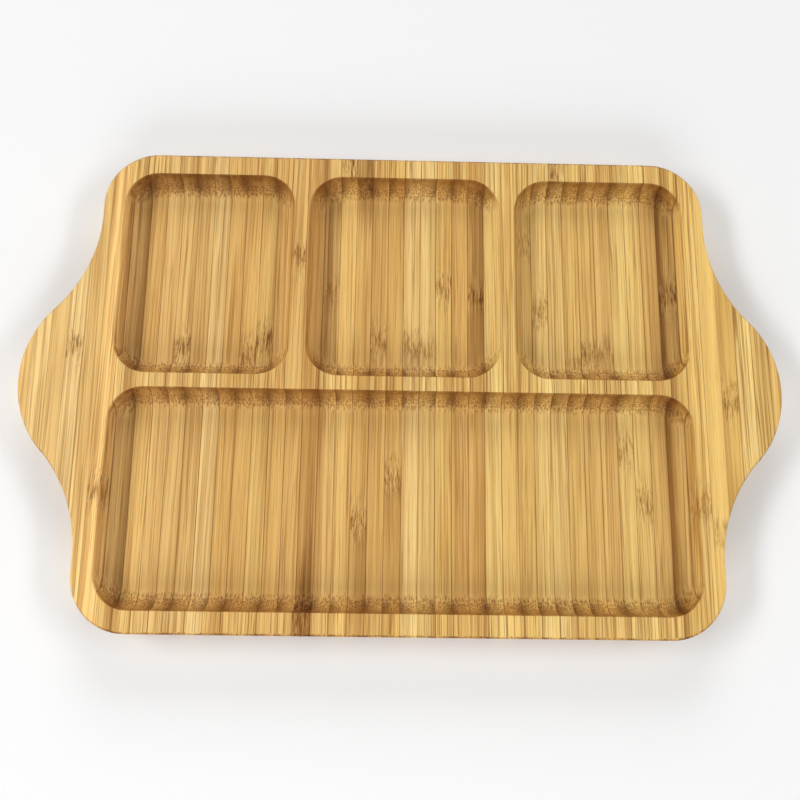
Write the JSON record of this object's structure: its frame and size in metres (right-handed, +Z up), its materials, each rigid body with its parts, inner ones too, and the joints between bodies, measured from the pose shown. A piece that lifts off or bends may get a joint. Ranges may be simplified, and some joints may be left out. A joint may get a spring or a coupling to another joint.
{
  "type": "divided serving tray",
  "caption": "Divided serving tray of glued bamboo strips, with coved food compartments, rounded corners and an ear-shaped handle at each side.",
  "frame": {"origin": "on the surface that the tray rests on, under the centre of the tray", "axes": "+X along the width from ear to ear, +Y from the long compartment's edge to the far row's edge, +Z up"},
  "size_m": [0.36, 0.23, 0.018],
  "materials": {
    "bamboo_pale": "sanded and oiled, satin",
    "bamboo_straw": "sanded and oiled, satin",
    "bamboo_honey": "sanded and oiled, satin",
    "bamboo_brown": "sanded and oiled, satin"
  },
  "bodies": {
    "root": {"bamboo_strip_01": "bamboo_straw", "bamboo_strip_02": "bamboo_pale", "bamboo_strip_03": "bamboo_straw", "bamboo_strip_04": "bamboo_pale", "bamboo_strip_05": "bamboo_pale", "bamboo_strip_06": "bamboo_straw", "bamboo_strip_07": "bamboo_straw", "bamboo_strip_08": "bamboo_straw", "bamboo_strip_09": "bamboo_straw", "bamboo_strip_10": "bamboo_straw", "bamboo_strip_11": "bamboo_straw", "bamboo_strip_12": "bamboo_pale", "bamboo_strip_13": "bamboo_honey", "bamboo_strip_14": "bamboo_honey", "bamboo_strip_15": "bamboo_straw", "bamboo_strip_16": "bamboo_honey", "bamboo_strip_17": "bamboo_honey", "bamboo_strip_18": "bamboo_brown", "bamboo_strip_19": "bamboo_straw", "bamboo_strip_20": "bamboo_straw", "bamboo_strip_21": "bamboo_honey", "bamboo_strip_22": "bamboo_honey", "bamboo_strip_23": "bamboo_honey", "bamboo_strip_24": "bamboo_pale", "bamboo_strip_25": "bamboo_pale", "bamboo_strip_26": "bamboo_straw", "bamboo_strip_27": "bamboo_honey", "bamboo_strip_28": "bamboo_honey", "bamboo_strip_29": "bamboo_pale", "bamboo_strip_30": "bamboo_straw", "bamboo_strip_31": "bamboo_straw", "bamboo_strip_32": "bamboo_pale", "bamboo_strip_33": "bamboo_pale", "bamboo_strip_34": "bamboo_straw", "bamboo_strip_35": "bamboo_straw", "bamboo_strip_36": "bamboo_straw", "bamboo_strip_37": "bamboo_pale", "bamboo_strip_38": "bamboo_pale", "bamboo_strip_39": "bamboo_straw", "bamboo_strip_40": "bamboo_straw", "bamboo_strip_41": "bamboo_straw", "bamboo_strip_42": "bamboo_straw", "bamboo_strip_43": "bamboo_honey", "bamboo_strip_44": "bamboo_pale", "bamboo_strip_45": "bamboo_straw", "bamboo_strip_46": "bamboo_straw"}
  },
  "joints": []
}
